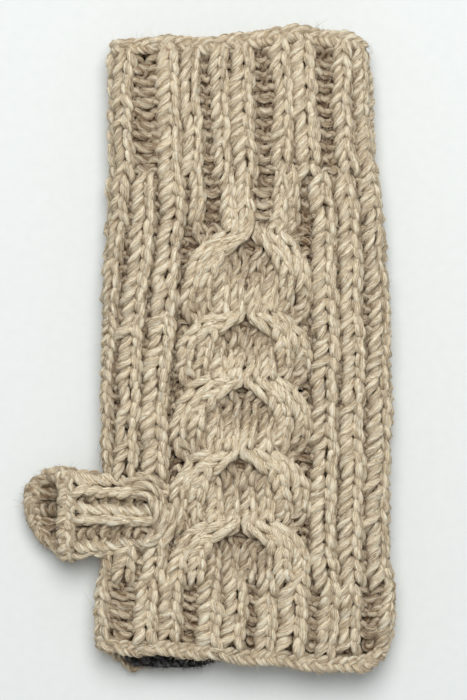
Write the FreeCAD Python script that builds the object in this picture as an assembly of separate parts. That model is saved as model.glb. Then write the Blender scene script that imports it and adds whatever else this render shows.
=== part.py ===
import FreeCAD, Part
import math
import os

# One fingerless glove of chunky hand-knitted wool with a fleece lining,
# lying flat on its palm.  Millimetres, +Z up.  +Y runs to the wrist opening, -Y to the
# finger opening, and the thumb tube points to -X.  The origin is the centre of the flat
# palm side, on the plane that the glove rests on.

# ---- driving dimensions -------------------------------------------------------------
WRIST_END_Y = 105.0          # outer end of the cast-on edge
FINGER_END_Y = -105.0        # outer end of the bind-off edge
LYING_THICKNESS = 18.0       # both layers, the lining and the air between them
KNIT_WALL = 5.0              # thickness of the knitted fabric
LINING_WALL = 0.9            # thickness of the fleece
LINING_CLEARANCE = 0.1       # between the knit and the fleece
LINING_SHORT_OF_FINGERS = 1.6   # how far the fleece stops short of the knitting's ends
LINING_SHORT_OF_WRIST = 2.6
EDGE_ROUND = 4.0             # length of the cast-on and bind-off rounds along the glove
PART_GAP = 0.3               # between pieces that belong to different bodies

# The glove widens from wrist to fingers: (y, left edge x, right edge x) of the outline.
OUTLINE = [
    (WRIST_END_Y, -45.5, 41.5),
    (57.0, -45.5, 43.5),
    (20.0, -47.5, 48.0),
    (-30.0, -47.0, 48.5),
    (-80.0, -47.0, 48.0),
    (FINGER_END_Y, -48.5, 48.0),
]

WRIST_BEND_Y = 55.0          # the line that the cuff bends about
WRIST_BEND_HALF = 6.0        # half the length of the rows that give at that bend
FINGER_CUFF_Y = -80.0        # start of the ribbed cuff at the fingers
SIDE_PANEL_LEFT_X = -24.0    # edge between the cable panel and the thumb-side ribbing
SIDE_PANEL_RIGHT_X = 22.0    # edge between the cable panel and the outer ribbing

THUMB_CENTRE_Y = -54.0
THUMB_WIDTH = 31.0           # across the tube, along Y
THUMB_THICKNESS = 16.5       # through the tube, along Z
THUMB_BASE_Z = 1.0           # underside of the thumb tube
THUMB_WALL = 4.2
THUMB_START_X = -47.3        # where the picked-up rounds leave the hand
THUMB_PIVOT_X = -52.0
THUMB_TOP_LIP_X = -57.5      # end of the upper side of the thumb tube
THUMB_BOTTOM_LIP_X = -71.0   # end of the lower side, which reaches further out
THUMB_EDGE_ROUND = 3.6       # the bind-off round at the mouth
NOTCH_HALF_Y = 19.0          # half the length of the thumb opening in the hand
NOTCH_TOP_X = -26.0          # inner end of that opening on the back layer
NOTCH_PALM_X = -40.0         # inner end of that opening on the palm layer
GUSSET_REACH = 5.0           # of knitting past the opening that the gusset is cut from
LINING_HOLE_MARGIN = 3.0     # the fleece's hole is shorter than the opening at either end
LINING_HOLE_TOP_X = -28.0    # inner end of the fleece's hole on the back layer
LINING_HOLE_PALM_X = -39.0   # and on the palm layer

STITCH_DIAMETER = 0.6
STITCHES_PER_SIDE = 14
STITCH_GAP = 0.05            # between a stitch and the fleece's cut end
SEAM_WIDTH = 2.4
SEAM_THICKNESS = 0.6
SEAM_FROM_PANEL = 9.0        # from the cable panel's edge to the seam's outer side
SEAM_SETBACK = 1.0           # from the fleece's ends to the seam's

# ---- worked out from them -----------------------------------------------------------
WRIST_CUFF_Y = WRIST_BEND_Y + WRIST_BEND_HALF
HAND_TOP_Y = WRIST_BEND_Y - WRIST_BEND_HALF
MID_Z = LYING_THICKNESS / 2.0
LINING_OUTER = KNIT_WALL + LINING_CLEARANCE
LINING_INNER = LINING_OUTER + LINING_WALL
LINING_START_Y = FINGER_END_Y + LINING_SHORT_OF_FINGERS
LINING_END_Y = WRIST_END_Y - LINING_SHORT_OF_WRIST
THUMB_MID_Z = THUMB_BASE_Z + THUMB_THICKNESS / 2.0
NOTCH_LOW_Y = THUMB_CENTRE_Y - NOTCH_HALF_Y
NOTCH_HIGH_Y = THUMB_CENTRE_Y + NOTCH_HALF_Y
FAR = 200.0                  # past every side of the glove
OVERSHOOT = 1.0              # of a cutting solid past the face it cuts


def outline_at(y):
    """Left and right edge of the glove at a place along its length."""
    stations = sorted(OUTLINE)
    for (y0, left0, right0), (y1, left1, right1) in zip(stations, stations[1:]):
        if y0 <= y <= y1:
            share = (y - y0) / (y1 - y0)
            return left0 + share * (left1 - left0), right0 + share * (right1 - right0)
    raise ValueError("outside the glove")


def side_round(y, edge, radius, turn, inset):
    """Half-circle outline of one side of the hand tube at y; turn is -1 left, +1 right."""
    inner = edge - turn * radius
    low = FreeCAD.Vector(inner, y, inset)
    high = FreeCAD.Vector(inner, y, LYING_THICKNESS - inset)
    tip = FreeCAD.Vector(edge, y, MID_Z)
    return Part.Wire([Part.Arc(low, tip, high).toShape(), Part.LineSegment(high, low).toShape()])


def hand_stretch(y_low, y_high, inset):
    """One straight-sided stretch: a flat middle with a half-round loft along each side."""
    radius = MID_Z - inset
    ends = []
    for y in (y_low, y_high):
        left, right = outline_at(y)
        ends.append((y, left + inset, right - inset))
    (y0, left0, right0), (y1, left1, right1) = ends
    corners = [
        FreeCAD.Vector(left0 + radius, y0, inset),
        FreeCAD.Vector(right0 - radius, y0, inset),
        FreeCAD.Vector(right1 - radius, y1, inset),
        FreeCAD.Vector(left1 + radius, y1, inset),
    ]
    base = Part.Face(Part.makePolygon(corners + corners[:1]))
    solid = base.extrude(FreeCAD.Vector(0, 0, 2 * radius))
    for turn, edge0, edge1 in ((-1, left0, left1), (1, right0, right1)):
        wires = [side_round(y0, edge0, radius, turn, inset), side_round(y1, edge1, radius, turn, inset)]
        solid = solid.fuse(Part.makeLoft(wires, True, True))
    return solid


def hand_solid(y_low, y_high, inset):
    """The solid inside an outline of the hand tube, from one y to another."""
    cuts = [y for y, _, _ in OUTLINE if y_low < y < y_high]
    places = [y_low] + sorted(cuts) + [y_high]
    pieces = [hand_stretch(low, high, inset) for low, high in zip(places, places[1:])]
    solid = pieces[0]
    for piece in pieces[1:]:
        solid = solid.fuse(piece)
    return solid.removeSplitter()


def hand_tube(y_low, y_high, outer_inset=0.0, inner_inset=KNIT_WALL):
    """A stretch of the hand tube with its hollow, open at both ends."""
    return hand_solid(y_low, y_high, outer_inset).cut(hand_solid(y_low, y_high, inner_inset))


def block(x_low, x_high, y_low, y_high, z_low, z_high):
    """A plain block between two corners."""
    corner = FreeCAD.Vector(x_low, y_low, z_low)
    return Part.makeBox(x_high - x_low, y_high - y_low, z_high - z_low, corner)


def thumb_section(inset, x):
    """Outline of the thumb tube at x, moved inwards by inset: two flats, two half circles."""
    half = THUMB_WIDTH / 2.0 - inset
    low = THUMB_BASE_Z + inset
    high = THUMB_BASE_Z + THUMB_THICKNESS - inset
    radius = (high - low) / 2.0
    near = THUMB_CENTRE_Y - half
    far = THUMB_CENTRE_Y + half
    a = FreeCAD.Vector(x, near + radius, low)
    b = FreeCAD.Vector(x, far - radius, low)
    c = FreeCAD.Vector(x, far - radius, high)
    d = FreeCAD.Vector(x, near + radius, high)
    edges = [
        Part.LineSegment(a, b).toShape(),
        Part.Arc(b, FreeCAD.Vector(x, far, THUMB_MID_Z), c).toShape(),
        Part.LineSegment(c, d).toShape(),
        Part.Arc(d, FreeCAD.Vector(x, near, THUMB_MID_Z), a).toShape(),
    ]
    return Part.Wire(edges)


def thumb_solid(inset, x_start, x_end):
    """The solid inside an outline of the thumb tube, between two x."""
    face = Part.Face(thumb_section(inset, x_start))
    return face.extrude(FreeCAD.Vector(x_end - x_start, 0, 0))


def mouth_wedge(shift):
    """Everything beyond the slanting mouth of the thumb tube, moved inwards by shift."""
    top_z = THUMB_BASE_Z + THUMB_THICKNESS
    slope = (THUMB_TOP_LIP_X - THUMB_BOTTOM_LIP_X) / THUMB_THICKNESS
    low_x = THUMB_BOTTOM_LIP_X - slope * (THUMB_BASE_Z + FAR) + shift
    high_x = THUMB_TOP_LIP_X + slope * (FAR - top_z) + shift
    corners = [
        FreeCAD.Vector(low_x, -FAR, -FAR),
        FreeCAD.Vector(high_x, -FAR, FAR),
        FreeCAD.Vector(high_x - 3 * FAR, -FAR, FAR),
        FreeCAD.Vector(low_x - 3 * FAR, -FAR, -FAR),
    ]
    face = Part.Face(Part.makePolygon(corners + corners[:1]))
    return face.extrude(FreeCAD.Vector(0, 2 * FAR, 0))


def thumb_notch(margin):
    """The part of the hand tube that the thumb opening takes up, made larger by margin."""
    low = NOTCH_LOW_Y - margin
    high = NOTCH_HIGH_Y + margin
    back = block(-FAR, NOTCH_TOP_X + margin, low, high, MID_Z, FAR)
    palm = block(-FAR, NOTCH_PALM_X + margin, low, high, -FAR, MID_Z)
    return back.fuse(palm)


def make_wrist_rib_cuff():
    return hand_tube(WRIST_CUFF_Y + PART_GAP, WRIST_END_Y - EDGE_ROUND)


def make_wrist_cast_on_edge():
    return hand_tube(WRIST_END_Y - EDGE_ROUND, WRIST_END_Y)


def make_wrist_bend_rows():
    return hand_tube(HAND_TOP_Y, WRIST_CUFF_Y)


def make_back_cable_panel():
    hand = hand_tube(FINGER_CUFF_Y, HAND_TOP_Y)
    return hand.common(block(SIDE_PANEL_LEFT_X, SIDE_PANEL_RIGHT_X, -FAR, FAR, MID_Z, FAR))


def make_palm_panel():
    hand = hand_tube(FINGER_CUFF_Y, HAND_TOP_Y)
    return hand.common(block(SIDE_PANEL_LEFT_X, SIDE_PANEL_RIGHT_X, -FAR, FAR, -FAR, MID_Z))


def make_left_side_rib():
    hand = hand_tube(FINGER_CUFF_Y, HAND_TOP_Y)
    side = hand.common(block(-FAR, SIDE_PANEL_LEFT_X, -FAR, FAR, -FAR, FAR))
    return side.cut(thumb_notch(0.0))


def make_right_side_rib():
    hand = hand_tube(FINGER_CUFF_Y, HAND_TOP_Y)
    return hand.common(block(SIDE_PANEL_RIGHT_X, FAR, -FAR, FAR, -FAR, FAR))


def make_thumb_gusset():
    """The stitches round the thumb opening, which turn out of the hand into the thumb."""
    hand = hand_tube(NOTCH_LOW_Y - GUSSET_REACH, NOTCH_HIGH_Y + GUSSET_REACH)
    wall = hand.common(thumb_notch(-PART_GAP))
    return wall.cut(thumb_solid(THUMB_WALL, NOTCH_TOP_X, -FAR))


def make_thumb_first_rounds():
    outer = thumb_solid(0.0, THUMB_START_X - PART_GAP, THUMB_PIVOT_X)
    return outer.cut(thumb_solid(THUMB_WALL, THUMB_START_X, THUMB_PIVOT_X - OVERSHOOT))


def thumb_shell():
    outer = thumb_solid(0.0, THUMB_PIVOT_X - PART_GAP, THUMB_BOTTOM_LIP_X - FAR / 4)
    return outer.cut(thumb_solid(THUMB_WALL, THUMB_PIVOT_X, THUMB_BOTTOM_LIP_X - FAR / 2))


def make_thumb_tube():
    return thumb_shell().cut(mouth_wedge(THUMB_EDGE_ROUND))


def make_thumb_bind_off_edge():
    return thumb_shell().common(mouth_wedge(THUMB_EDGE_ROUND)).cut(mouth_wedge(0.0))


def make_finger_rib_cuff():
    return hand_tube(FINGER_END_Y + EDGE_ROUND, FINGER_CUFF_Y)


def make_finger_bind_off_edge():
    return hand_tube(FINGER_END_Y, FINGER_END_Y + EDGE_ROUND)


def make_fleece_lining():
    """One fleece tube through the whole hand, with a hole where the thumb goes out."""
    tube = hand_tube(LINING_START_Y, LINING_END_Y, LINING_OUTER, LINING_INNER)
    low = NOTCH_LOW_Y + LINING_HOLE_MARGIN
    high = NOTCH_HIGH_Y - LINING_HOLE_MARGIN
    back_hole = block(-FAR, LINING_HOLE_TOP_X, low, high, MID_Z, FAR)
    palm_hole = block(-FAR, LINING_HOLE_PALM_X, low, high, -FAR, FAR)
    return tube.cut(back_hole).cut(palm_hole)


def make_lining_seam():
    """The overlocked edge that closes the fleece tube, on its inside by the outer edge."""
    x_high = SIDE_PANEL_RIGHT_X + SEAM_FROM_PANEL
    top = LYING_THICKNESS - LINING_INNER
    low_y = LINING_START_Y + SEAM_SETBACK
    high_y = LINING_END_Y - SEAM_SETBACK
    return block(x_high - SEAM_WIDTH, x_high, low_y, high_y, top - SEAM_THICKNESS, top)


def make_hem_stitches(y, outward):
    """Whip stitches over the cut end of the fleece, as many separate short threads."""
    left, right = outline_at(y)
    first = left + LYING_THICKNESS / 2.0
    step = (right - left - LYING_THICKNESS) / (STITCHES_PER_SIDE - 1)
    middle_y = y + outward * (STITCH_DIAMETER / 2.0 + STITCH_GAP)
    threads = []
    for index in range(STITCHES_PER_SIDE):
        x = first + index * step
        for low in (LINING_OUTER, LYING_THICKNESS - LINING_INNER):
            base = FreeCAD.Vector(x, middle_y, low)
            up = FreeCAD.Vector(0, 0, 1)
            threads.append(Part.makeCylinder(STITCH_DIAMETER / 2.0, LINING_WALL, base, up))
    return Part.makeCompound(threads)


NODES = {
    "wrist_cast_on_edge": make_wrist_cast_on_edge,
    "wrist_rib_cuff": make_wrist_rib_cuff,
    "wrist_bend_rows": make_wrist_bend_rows,
    "back_cable_panel": make_back_cable_panel,
    "palm_panel": make_palm_panel,
    "left_side_rib": make_left_side_rib,
    "right_side_rib": make_right_side_rib,
    "finger_rib_cuff": make_finger_rib_cuff,
    "finger_bind_off_edge": make_finger_bind_off_edge,
    "thumb_gusset": make_thumb_gusset,
    "thumb_first_rounds": make_thumb_first_rounds,
    "thumb_tube": make_thumb_tube,
    "thumb_bind_off_edge": make_thumb_bind_off_edge,
    "fleece_lining": make_fleece_lining,
    "lining_seam": make_lining_seam,
    "wrist_hem_stitches": lambda: make_hem_stitches(LINING_END_Y, 1.0),
    "finger_hem_stitches": lambda: make_hem_stitches(LINING_START_Y, -1.0),
}


def main():
    os.makedirs("parts", exist_ok=True)
    for name, make in NODES.items():
        shape = make()
        if shape.ShapeType == "Compound" and len(shape.Solids) == 1:
            shape = shape.Solids[0]
        shape.exportStep(os.path.join("parts", name + ".step"))
        box = shape.BoundBox
        print(name, len(shape.Solids), "solid(s)", shape.isValid(), round(shape.Volume, 1),
              [round(v, 1) for v in (box.XMin, box.YMin, box.ZMin, box.XMax, box.YMax, box.ZMax)])


main()
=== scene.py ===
import math

import bpy
import numpy as np
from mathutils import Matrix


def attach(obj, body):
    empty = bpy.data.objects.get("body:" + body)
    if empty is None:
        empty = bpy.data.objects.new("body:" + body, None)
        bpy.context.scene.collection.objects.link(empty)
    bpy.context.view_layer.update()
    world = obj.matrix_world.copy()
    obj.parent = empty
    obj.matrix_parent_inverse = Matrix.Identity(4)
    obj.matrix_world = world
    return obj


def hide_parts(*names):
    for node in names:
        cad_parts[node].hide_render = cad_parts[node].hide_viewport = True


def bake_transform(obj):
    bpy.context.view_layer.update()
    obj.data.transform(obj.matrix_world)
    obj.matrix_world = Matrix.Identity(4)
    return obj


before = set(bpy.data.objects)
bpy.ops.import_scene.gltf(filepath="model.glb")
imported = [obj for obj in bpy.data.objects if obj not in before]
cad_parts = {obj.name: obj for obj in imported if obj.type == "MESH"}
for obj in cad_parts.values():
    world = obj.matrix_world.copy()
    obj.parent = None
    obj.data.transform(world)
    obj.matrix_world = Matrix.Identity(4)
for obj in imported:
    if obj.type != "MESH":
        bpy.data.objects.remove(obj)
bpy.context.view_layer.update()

# A hand-knitted fingerless glove, lying flat on its palm.  Pieces without a blend are parented to an empty
# for their CAD body.
# The outline and the places where it bends are set here, close to the CAD model's.  Lengths
# are in millimetres until a mesh is made.  "q" runs round a tube, "v" counts rounds from the
# cast-on edge towards the fingers, or from the hand towards the thumb's tip, and "rise" is
# height above the middle of the fabric, outwards.

MM = 0.001
TAU = 2.0 * math.pi
rng = np.random.default_rng(20)

# ---- the yarn -----------------------------------------------------------------------
YARN_RADIUS = 1.58
RADIUS_PER_ROOT = 0.560  # a wide wale lets its yarn bloom: radius over the root of its width
RADIUS_LIMITS = (1.30, 1.85)
HEAD_BLOOM, LEG_BLOOM, PINCH = 0.32, 0.27, 0.15  # it swells in legs and heads, thins between
PLIES = 3
PLY_DEPTH = 0.18  # depth of the grooves between plies, as a share of the radius
PLY_GROOVE_PAINTED_SHADE = 3.2  # painted shade: how much darker the grooves between plies are painted than the plies
PLY_PITCH = 17.0  # length of one full turn of the plies
PLY_BULGE = 1.55  # how far the plies stand above the grooves, in PLY_DEPTHs
MEAN_LOBE = 0.64  # the ply profile's mean: painted shading by it keeps a yarn's mean shade
SLUB = 0.055  # how uneven hand-spun yarn is, as a share of its radius
SLUB_LENGTHS = (6.1, 2.3)  # how quickly it swells and thins along its length
LOOP_RISE = 1.70  # half the depth of a knitted loop, front to back
PURL_SHARE = 0.75  # purl loops are flatter than knit ones
LOOP_REACH = 1.08  # half a loop's length, in rounds
SHINGLE = 0.85  # how much higher a leg is at its older end, per round
SAMPLES = 22  # points along one stitch
BACK_SIDES, PALM_SIDES = 16, 10
BACK_STRIDE, PALM_STRIDE = 1, 2

# ---- the hand's shape ---------------------------------------------------------------
# Outline of the glove lying flat: (y, left x, right x).
OUTLINE = np.array([
    (-106.0, -49.4, 47.5),
    (-97.0, -50.0, 48.8),
    (-84.0, -49.4, 49.8),
    (-69.0, -47.2, 48.0),
    (-50.0, -46.9, 47.8),
    (-16.0, -47.5, 48.5),
    (17.0, -47.4, 47.8),
    (44.0, -45.4, 45.6),
    (66.0, -44.6, 42.6),
    (96.0, -45.0, 41.4),
    (106.0, -44.6, 40.6),
])
# Half the distance between the middles of the back and palm fabrics: (y, half).
HALF_DEPTH = np.array([(-106.0, 4.4), (-92.0, 4.9), (-60.0, 5.2), (60.0, 5.2), (92.0, 4.9), (106.0, 4.5)])
MID_Z = 9.0
FABRIC_INSET = 3.1  # from the outline to the middle of the fabric at a fold


def hand_edges(y):
    """The left and right x of the fabric's middle surface at y, and its half depth."""
    ys = OUTLINE[:, 0]
    left = np.interp(y, ys, OUTLINE[:, 1]) + FABRIC_INSET
    right = np.interp(y, ys, OUTLINE[:, 2]) - FABRIC_INSET
    half = np.interp(y, HALF_DEPTH[:, 0], HALF_DEPTH[:, 1])
    return left, right, half


def flat_tube(q, low, high, half):
    """Place and outward normal on a flattened tube: two flats joined by two half circles.

    q is 0 at the low fold's tip and grows over the upper side; it may run past either end.
    """
    flat = high - low - 2.0 * half
    quarter = 0.5 * math.pi * half
    side = flat + 2.0 * quarter
    s = np.mod(q, 2.0 * side)
    under = s > side
    p = np.where(under, 2.0 * side - s, s)
    first = np.clip(p / half, 0.0, 0.5 * math.pi)
    last = np.clip((p - quarter - flat) / half, 0.0, 0.5 * math.pi)
    middle = np.clip(p - quarter, 0.0, flat)
    across = low + half - half * np.cos(first) + middle + half * np.sin(last)
    lift = np.minimum(np.sin(first), np.cos(last))
    turn = np.where(p < quarter + 0.5 * flat, -np.cos(first), np.sin(last))
    sign = np.where(under, -1.0, 1.0)
    return across, half * lift * sign, turn, lift * sign


def back_length(y):
    """Length of the upper side of the hand tube at y, from fold tip to fold tip."""
    left, right, half = hand_edges(y)
    return right - left - 2.0 * half + math.pi * half


# ---- the rounds ---------------------------------------------------------------------
# (round, y) of chosen rounds.  The rounds between the cable's crossings are closer or
# further apart, as hand tension varies.
WRIST_ROWS = np.array([(-1.0, 100.4), (0.0, 96.6), (11.0, 55.6), (12.0, 51.8)])
CROSSINGS = np.array([4.5, 10.5, 16.5, 22.5, 28.5])  # rounds at the tops of the arches
HAND_ROWS = np.array([
    (-1.0, 59.3),
    (0.0, 55.4),
    (4.5, 37.8),
    (10.5, 11.2),
    (16.5, -10.0),
    (22.5, -34.0),
    (28.5, -57.6),
    (34.0, -79.0),
    (35.0, -83.0),
])
FINGER_ROWS = np.array([(-1.0, -75.0), (0.0, -79.0), (6.0, -101.0), (7.0, -104.0)])

# How far the edges wander from straight: (x, y shift).
WRIST_WAVE = np.array([
    (-48.0, -5.0), (-43.0, -1.5), (-34.0, -0.4), (-10.0, 0.6), (18.0, 3.6), (34.0, 1.8), (44.0, -3.0),
])
FINGER_WAVE = np.array([
    (-50.0, 7.0), (-44.0, 4.8), (-36.0, 3.4), (-28.0, 4.0), (-12.0, 3.2),
    (-2.0, 1.2), (28.0, -1.6), (40.0, -0.6), (49.0, 4.6),
])
PALM_FINGER_WAVE = np.array([
    (-50.0, 7.0), (-42.0, 1.6), (-37.0, -1.4), (-31.0, 0.6), (-12.0, 0.9),
    (-6.0, 1.8), (30.0, 0.4), (49.0, 4.6),
])
WAVE_REACH = 42.0  # how far from the edge the wander dies out
WRIST_EDGE_Y = 102.0
FINGER_EDGE_Y = -103.0


def wandered(x, y, up):
    """y after the edges' wander, for the back (up above zero) or the palm layer."""
    wrist = np.interp(x, WRIST_WAVE[:, 0], WRIST_WAVE[:, 1])
    back = np.interp(x, FINGER_WAVE[:, 0], FINGER_WAVE[:, 1])
    palm = np.interp(x, PALM_FINGER_WAVE[:, 0], PALM_FINGER_WAVE[:, 1])
    share = np.clip(0.5 + 0.12 * up, 0.0, 1.0)
    finger = palm + share * (back - palm)
    near_wrist = np.clip(1.0 - (WRIST_EDGE_Y - y) / WAVE_REACH, 0.0, 1.0)
    near_finger = np.clip(1.0 - (y - FINGER_EDGE_Y) / WAVE_REACH, 0.0, 1.0)
    return y + wrist * near_wrist ** 1.5 + finger * near_finger ** 1.5


def on_hand(q, y, rise):
    """Points and outward normals on the hand tube."""
    left, right, half = hand_edges(y)
    x, up, nx, nz = flat_tube(q, left, right, half)
    points = np.stack([x + nx * rise, wandered(x, y, up), MID_Z + up + nz * rise], axis=-1)
    normals = np.stack([nx, np.zeros_like(nx), nz], axis=-1)
    return points, normals


# ---- the thumb tube -----------------------------------------------------------------
THUMB_LOW_Y = (-66.8, -70.6)  # of the tube lying flat, at its root and at its rim
THUMB_HIGH_Y = (-42.4, -38.4)
THUMB_MID_Z = 9.6
THUMB_HALF = 4.5  # half depth of the middle surface
THUMB_ROUNDS = 8
THUMB_TOP_X = (-27.0, -58.0)  # first round and rim on the upper side
THUMB_LOW_X = (-41.0, -70.0)  # and on the lower side, which reaches further out
THUMB_ROUND = (THUMB_TOP_X[0] - THUMB_TOP_X[1]) / THUMB_ROUNDS
THUMB_LIP_Y = -51.0  # where the lower lip reaches furthest
THUMB_LIP_ROUND = 0.036  # how quickly it falls back on either side


def thumb_edges(v):
    """The low and high y of the middle of the thumb's fabric at round v."""
    share = v / THUMB_ROUNDS
    low = THUMB_LOW_Y[0] + share * (THUMB_LOW_Y[1] - THUMB_LOW_Y[0]) + FABRIC_INSET
    high = THUMB_HIGH_Y[0] + share * (THUMB_HIGH_Y[1] - THUMB_HIGH_Y[0]) - FABRIC_INSET
    return low, high


def thumb_side_length(v):
    """Length of the upper side of the thumb tube at round v, from fold tip to fold tip."""
    low, high = thumb_edges(v)
    return high - low - 2.0 * THUMB_HALF + math.pi * THUMB_HALF


def on_thumb(q, v, rise):
    """Points and outward normals on the thumb tube; q is 0 at the fold nearest the wrist."""
    low, high = thumb_edges(v)
    across, up, turn, lift = flat_tube(q, low, high, THUMB_HALF)
    y = low + high - across - turn * rise
    share = v / THUMB_ROUNDS
    top = THUMB_TOP_X[0] + share * (THUMB_TOP_X[1] - THUMB_TOP_X[0])
    bottom = THUMB_LOW_X[0] + share * (THUMB_LOW_X[1] - THUMB_LOW_X[0])
    bottom = bottom + share * THUMB_LIP_ROUND * (y - THUMB_LIP_Y) ** 2
    x = bottom + (top - bottom) * (0.5 + 0.5 * up / THUMB_HALF)
    points = np.stack([x, y, THUMB_MID_Z + up + lift * rise], axis=-1)
    normals = np.stack([np.zeros_like(turn), -turn, lift], axis=-1)
    return points, normals


# ---- wales: the columns of stitches -------------------------------------------------
KNIT, PURL = 1.0, -1.0


def wales(text):
    """Reads a row of stitches such as "K7.6 P3.0" into kinds and widths in millimetres."""
    kinds = [KNIT if word[0] == "K" else PURL for word in text.split()]
    widths = [float(word[1:]) for word in text.split()]
    return np.array(kinds), np.array(widths)


RIB_PALM = "K7.0 P2.4 K7.0 K7.0 P2.4 K7.0 K7.0 P2.4"
SIDE_PALM = "K7.6 P1.6 K7.6 P1.6 K7.6 P1.6 K7.6 P1.6 K7.6"
CABLE_TOP = " K4.9" * 8
CABLE_LOW = " K5.7" * 8
# The panel starts as ribbing: the kind and share of width of its eight wales before the
# first crossing.
RIB_KINDS = (1.0, -1.0, 1.0, 1.0, -1.0, 1.0, 1.0, -1.0)
RIB_SHARES = (0.125, 0.145, 0.130, 0.140, 0.155, 0.120, 0.115, 0.070)
RIB_END = (3.2, 5.0)
ZONES = {
    "wrist": {
        "rows": WRIST_ROWS, "count": 11,
        "palm": RIB_PALM,
        "back": "K5.4 P7.7 K7.7 K7.0 P3.0 K6.4 K8.1 P5.3 K7.0 K8.4 P5.0 K6.3 K4.4",
        "tuck": (2.6, 1.7),
    },
    "hand": {
        "rows": HAND_ROWS, "count": 34,
        "palm": SIDE_PALM,
        "back": "K5.4 P0.9 K8.1 P1.2 K8.4 P1.2" + CABLE_TOP + " P0.7 K7.9 P0.5 K7.2 P0.6 K6.2",
        "back_low": "K6.0 P0.7 K7.1 P1.0 K9.0 P0.7" + CABLE_LOW + " P0.3 K9.2 P0.4 K7.9 P0.6 K7.2",
        "tuck": (1.8, 0.8), "tuck_low": (-2.0, 0.8),
    },
    "finger": {
        "rows": FINGER_ROWS, "count": 6,
        "palm": RIB_PALM,
        "back": "K5.3 P7.1 K7.8 K7.5 P5.2 K7.8 K8.1 P2.9 K6.5 K10.1 P2.9 K6.9 K7.2 P5.1 K4.4",
        "tuck": (-0.3, 0.6),
    },
}
HAND_TOP_STATION, HAND_LOW_STATION = 40.0, -26.0
CABLE_FIRST = 6  # the first cable stitch among the back's wales of the hand
CABLE_WIDTH = 8
GRID_STEP = 0.05  # in rounds
FRONT_LENGTH = 3.9  # rounds that the front strand of a crossing takes
FRONT_CURVE = 2.7  # how quickly it turns from level to upright
BACK_START, BACK_LENGTH = -1.0, 3.3  # the back strand's first round from the arch's top, and its rounds
BELL_MIDDLE = 1.2  # rounds past the arch's top where the strands are furthest apart in height
CABLE_OVER = 2.1  # how far the front strand of a crossing rises
CABLE_UNDER = 1.7  # and how far the back strand sinks
KNIT_RISE = 0.5
PURL_SINK, GULLY_SINK, GULLY_WIDTH = -1.5, -2.3, 2.6  # wide purl wales, and narrow ones
THUMB_WALES = "K7.0 P2.2 K6.7 P5.1 K3.9 P4.4 K6.6 P3.2 K6.6 P3.2 K6.6"
THUMB_TUCK = 1.2
LEFT_SLANT, RIGHT_SLANT = 0.245, 0.195  # how far a loop's legs slant, as a share of its width
LEG_OUT = -0.004  # how far its legs stand apart, likewise
JITTER_ALONG, JITTER_ACROSS, JITTER_RISE, JITTER_SLANT = 0.36, 0.27, 0.30, 0.20
JITTER_BEYOND, JITTER_RADIUS = 0.04, 0.05
WALE_WANDER = 0.35
WANDER_LENGTHS = (41.0, 15.0)
TABLE_BEFORE, TABLE_AFTER = 1.4, 0.41  # rounds that tables run before a zone and past its end
LOOK_AHEAD = 0.2  # rounds over which a wale's direction is measured
JOIN_FROM, JOIN_OVER = 0.70, 0.30  # where a stitch's lead to the next starts, and how long it is


def spread(zone, y):
    """Kind, centre and width of each wale, round the tube, at each y of an array."""
    kinds_palm, palm = wales(zone["palm"])
    kinds_back, back = wales(zone["back"])
    low = wales(zone.get("back_low", zone["back"]))[1]
    tuck_top, tuck_low = np.array(zone["tuck"]), np.array(zone.get("tuck_low", zone["tuck"]))
    share = np.clip((HAND_TOP_STATION - y) / (HAND_TOP_STATION - HAND_LOW_STATION), 0.0, 1.0)
    side = back_length(y)
    tuck = tuck_top[:, None] + share * (tuck_low - tuck_top)[:, None]
    back = back[:, None] + share * (low - back)[:, None]
    back = back * (side - tuck[0] - tuck[1]) / back.sum(axis=0)
    left = palm[::-1, None] * (0.5 * side + tuck[0]) / palm.sum()
    right = palm[:, None] * (0.5 * side + tuck[1]) / palm.sum()
    widths = np.concatenate([left, back, right])
    ends = np.cumsum(widths, axis=0) - 0.5 * side
    kinds = np.concatenate([kinds_palm[::-1], kinds_back, kinds_palm])
    return kinds, ends - 0.5 * widths, widths


def smooth(t):
    """0 up to t of 0, 1 from t of 1, with an even curve between."""
    t = np.clip(t, 0.0, 1.0)
    return t * t * (3.0 - 2.0 * t)


def cable_slots(v):
    """The slot of each of the eight cable wales at v, and how far each is lifted.

    At a crossing the two middle stitches of each half pass over the two outer ones.
    """
    slots = np.tile(np.arange(CABLE_WIDTH, dtype=float)[:, None], (1, len(v)))
    lifts = np.zeros_like(slots)
    spacing = CROSSINGS[1] - CROSSINGS[0]
    place = np.arange(CABLE_WIDTH)
    moves = {0: (2, -1.0), 1: (2, -1.0), 2: (-2, 1.0), 3: (-2, 1.0)}
    moves.update({4: (2, 1.0), 5: (2, 1.0), 6: (-2, -1.0), 7: (-2, -1.0)})
    for crossing in CROSSINGS:
        front = 1.0 - (1.0 - np.clip((v - crossing) / FRONT_LENGTH, 0.0, 1.0)) ** FRONT_CURVE
        back = smooth((v - crossing - BACK_START) / BACK_LENGTH)
        bell = 1.0 - smooth(np.abs(v - crossing - BELL_MIDDLE) / spacing)
        for wale in range(CABLE_WIDTH):
            step, lift = moves[place[wale]]
            slots[wale] += step * (front if lift > 0.0 else back)
            lifts[wale] += lift * bell
            place[wale] += step
    return slots, lifts


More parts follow.
